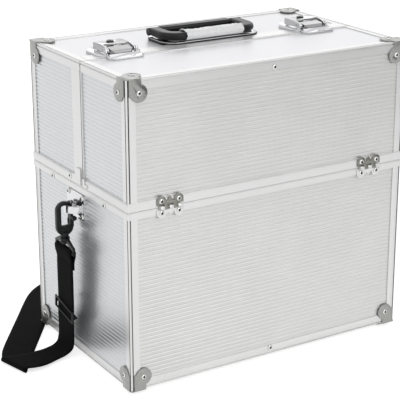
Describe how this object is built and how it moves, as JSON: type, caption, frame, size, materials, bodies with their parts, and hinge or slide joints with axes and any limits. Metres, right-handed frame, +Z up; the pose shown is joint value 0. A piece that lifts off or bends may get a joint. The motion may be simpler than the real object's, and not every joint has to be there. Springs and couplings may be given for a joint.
{
  "type": "makeup case",
  "caption": "Upright makeup case with ribbed panels, hinged lids over the middle, cantilever trays, key latches, a folding handle and a shoulder strap.",
  "frame": {"origin": "on the ground under the middle of the case, between its rubber feet", "axes": "+Z up, the ribbed front with the lid hinges faces -Y, the ends with the strap plates face -X and +X"},
  "size_m": [0.5316, 0.3577, 0.3606],
  "materials": {
    "ribbed_panel": "fine ribbed sheet, satin",
    "smooth_panel": "smooth satin sheet",
    "frame": "satin anodised extrusion",
    "cap_steel": "bright plated steel sheet",
    "hinge_steel": "plated steel sheet",
    "rivet_steel": "bright steel",
    "chrome": "polished chrome plate",
    "lining": "black lining cloth on board",
    "board": "fibre board floor, covered inside",
    "rubber": "black rubber",
    "tray_plastic": "black moulded plastic",
    "arm_steel": "zinc plated steel",
    "handle_plastic": "black moulded plastic, semi-gloss",
    "film": "thin clear plastic film, crumpled",
    "webbing": "black woven webbing",
    "black_metal": "black coated metal"
  },
  "bodies": {
    "base": {"base_side_panels": "ribbed_panel", "base_end_panels": "ribbed_panel", "base_floor": "board", "base_frame": "frame", "base_rim_rail": "frame", "bottom_corner_caps": "cap_steel", "rubber_feet": "rubber", "base_lining": "lining", "hinge_lower_leaves": "frame", "hinge_pins": "arm_steel", "strap_loop_plates": "chrome", "base_rivets": "rivet_steel", "tray_arm_brackets": "arm_steel", "shoulder_strap": "webbing", "strap_fittings": "black_metal"},
    "front_lid": {"front_lid_panel": "ribbed_panel", "front_lid_top": "smooth_panel", "front_lid_ends": "ribbed_panel", "front_lid_frame": "frame", "front_lid_rail": "frame", "front_lid_caps": "cap_steel", "front_lid_lining": "lining", "front_hinge_leaves": "hinge_steel", "front_lid_rivets": "rivet_steel", "latch_keepers": "chrome"},
    "rear_lid": {"rear_lid_panel": "ribbed_panel", "rear_lid_top": "smooth_panel", "rear_lid_ends": "ribbed_panel", "rear_lid_frame": "frame", "rear_lid_rail": "frame", "rear_lid_caps": "cap_steel", "rear_lid_lining": "lining", "rear_hinge_leaves": "hinge_steel", "rear_lid_rivets": "rivet_steel", "meeting_seal": "rubber", "latch_base_plates": "chrome", "handle_base": "handle_plastic", "handle_plate": "chrome"},
    "front_outer_arms": {"front_outer_arms": "arm_steel"},
    "front_inner_arms": {"front_inner_arms": "arm_steel"},
    "front_lower_tray": {"front_lower_tray": "tray_plastic"},
    "front_upper_tray": {"front_upper_tray": "tray_plastic"},
    "front_drag_links": {"front_drag_links": "arm_steel"},
    "rear_outer_arms": {"rear_outer_arms": "arm_steel"},
    "rear_inner_arms": {"rear_inner_arms": "arm_steel"},
    "rear_lower_tray": {"rear_lower_tray": "tray_plastic"},
    "rear_upper_tray": {"rear_upper_tray": "tray_plastic"},
    "rear_drag_links": {"rear_drag_links": "arm_steel"},
    "left_latch_lever": {"left_latch_lever": "chrome"},
    "left_draw_hook": {"left_draw_hook": "chrome"},
    "left_key_plug": {"left_key_plug": "chrome"},
    "left_hook": {"left_snap_hook": "black_metal"},
    "left_gate": {"left_hook_gate": "black_metal"},
    "right_latch_lever": {"right_latch_lever": "chrome"},
    "right_draw_hook": {"right_draw_hook": "chrome"},
    "right_key_plug": {"right_key_plug": "chrome"},
    "right_hook": {"right_snap_hook": "black_metal"},
    "right_gate": {"right_hook_gate": "black_metal"},
    "handle": {"handle_bail": "handle_plastic", "grip_film": "film"}
  },
  "joints": [
    {"name": "front_lid_hinge", "type": "hinge", "parent": "base", "child": "front_lid", "pos_m": [0, -0.1165, 0.208], "axis": [1, 0, 0], "range_deg": [0, 90]},
    {"name": "front_outer_arm_pivot", "type": "hinge", "parent": "base", "child": "front_outer_arms", "pos_m": [0, -0.1, 0.21], "axis": [1, 0, 0], "range_deg": [0, 90]},
    {"name": "front_inner_arm_pivot", "type": "hinge", "parent": "base", "child": "front_inner_arms", "pos_m": [0, -0.084, 0.21], "axis": [1, 0, 0], "range_deg": [0, 90]},
    {"name": "front_lower_tray_pivot", "type": "hinge", "parent": "front_outer_arms", "child": "front_lower_tray", "pos_m": [0, -0.0689, 0.2411], "axis": [1, 0, 0], "range_deg": [-90, 0]},
    {"name": "front_upper_tray_pivot", "type": "hinge", "parent": "front_outer_arms", "child": "front_upper_tray", "pos_m": [0, -0.0378, 0.2722], "axis": [1, 0, 0], "range_deg": [-90, 0]},
    {"name": "front_drag_link_pivot", "type": "hinge", "parent": "front_lid", "child": "front_drag_links", "pos_m": [0, -0.07125, 0.25325], "axis": [1, 0, 0], "range_deg": [-90, 0]},
    {"name": "rear_lid_hinge", "type": "hinge", "parent": "base", "child": "rear_lid", "pos_m": [0, 0.1165, 0.208], "axis": [-1, 0, 0], "range_deg": [0, 90]},
    {"name": "rear_outer_arm_pivot", "type": "hinge", "parent": "base", "child": "rear_outer_arms", "pos_m": [0, 0.1, 0.21], "axis": [-1, 0, 0], "range_deg": [0, 90]},
    {"name": "rear_inner_arm_pivot", "type": "hinge", "parent": "base", "child": "rear_inner_arms", "pos_m": [0, 0.084, 0.21], "axis": [-1, 0, 0], "range_deg": [0, 90]},
    {"name": "rear_lower_tray_pivot", "type": "hinge", "parent": "rear_outer_arms", "child": "rear_lower_tray", "pos_m": [0, 0.0689, 0.2411], "axis": [-1, 0, 0], "range_deg": [-90, 0]},
    {"name": "rear_upper_tray_pivot", "type": "hinge", "parent": "rear_outer_arms", "child": "rear_upper_tray", "pos_m": [0, 0.0378, 0.2722], "axis": [-1, 0, 0], "range_deg": [-90, 0]},
    {"name": "rear_drag_link_pivot", "type": "hinge", "parent": "rear_lid", "child": "rear_drag_links", "pos_m": [0, 0.07125, 0.25325], "axis": [-1, 0, 0], "range_deg": [-90, 0]},
    {"name": "left_latch_lever_hinge", "type": "hinge", "parent": "rear_lid", "child": "left_latch_lever", "pos_m": [-0.127, -0.005, 0.3535], "axis": [1, 0, 0], "range_deg": [0, 100]},
    {"name": "left_draw_hook_pivot", "type": "hinge", "parent": "left_latch_lever", "child": "left_draw_hook", "pos_m": [-0.127, 0.003, 0.3535], "axis": [1, 0, 0], "range_deg": [-100, 0]},
    {"name": "left_key_turn", "type": "hinge", "parent": "left_latch_lever", "child": "left_key_plug", "pos_m": [-0.127, 0.019, 0.3585], "axis": [0, 0, 1], "range_deg": [0, 90]},
    {"name": "right_latch_lever_hinge", "type": "hinge", "parent": "rear_lid", "child": "right_latch_lever", "pos_m": [0.127, -0.005, 0.3535], "axis": [1, 0, 0], "range_deg": [0, 100]},
    {"name": "right_draw_hook_pivot", "type": "hinge", "parent": "right_latch_lever", "child": "right_draw_hook", "pos_m": [0.127, 0.003, 0.3535], "axis": [1, 0, 0], "range_deg": [-100, 0]},
    {"name": "right_key_turn", "type": "hinge", "parent": "right_latch_lever", "child": "right_key_plug", "pos_m": [0.127, 0.019, 0.3585], "axis": [0, 0, 1], "range_deg": [0, 90]},
    {"name": "handle_fold", "type": "hinge", "parent": "rear_lid", "child": "handle", "pos_m": [0, 0.05, 0.35565], "axis": [-1, 0, 0], "range_deg": [0, 90]},
    {"name": "left_hook_swivel", "type": "hinge", "parent": "base", "child": "left_hook", "pos_m": [-0.1945, 0.009, 0.146], "axis": [0, 0, 1], "range_deg": [-15, 15]},
    {"name": "left_gate_pivot", "type": "hinge", "parent": "left_hook", "child": "left_gate", "pos_m": [-0.1867, 0.009, 0.1603], "axis": [0, -1, 0], "range_deg": [0, 25], "stiffness_Nm_per_rad": 0.02, "springref_deg": -11.46},
    {"name": "right_hook_swivel", "type": "hinge", "parent": "base", "child": "right_hook", "pos_m": [0.1945, 0.009, 0.146], "axis": [0, 0, 1], "range_deg": [-15, 15]},
    {"name": "right_gate_pivot", "type": "hinge", "parent": "right_hook", "child": "right_gate", "pos_m": [0.1867, 0.009, 0.1603], "axis": [0, 1, 0], "range_deg": [0, 25], "stiffness_Nm_per_rad": 0.02, "springref_deg": -11.46}
  ],
  "couplings": [
    {"joint": "front_outer_arm_pivot", "follows": "front_lid_hinge", "ratio": 1},
    {"joint": "front_inner_arm_pivot", "follows": "front_lid_hinge", "ratio": 1},
    {"joint": "front_lower_tray_pivot", "follows": "front_lid_hinge", "ratio": -1},
    {"joint": "front_upper_tray_pivot", "follows": "front_lid_hinge", "ratio": -1},
    {"joint": "front_drag_link_pivot", "follows": "front_lid_hinge", "ratio": -1},
    {"joint": "rear_outer_arm_pivot", "follows": "rear_lid_hinge", "ratio": 1},
    {"joint": "rear_inner_arm_pivot", "follows": "rear_lid_hinge", "ratio": 1},
    {"joint": "rear_lower_tray_pivot", "follows": "rear_lid_hinge", "ratio": -1},
    {"joint": "rear_upper_tray_pivot", "follows": "rear_lid_hinge", "ratio": -1},
    {"joint": "rear_drag_link_pivot", "follows": "rear_lid_hinge", "ratio": -1},
    {"joint": "left_draw_hook_pivot", "follows": "left_latch_lever_hinge", "ratio": -1},
    {"joint": "right_draw_hook_pivot", "follows": "right_latch_lever_hinge", "ratio": -1}
  ]
}
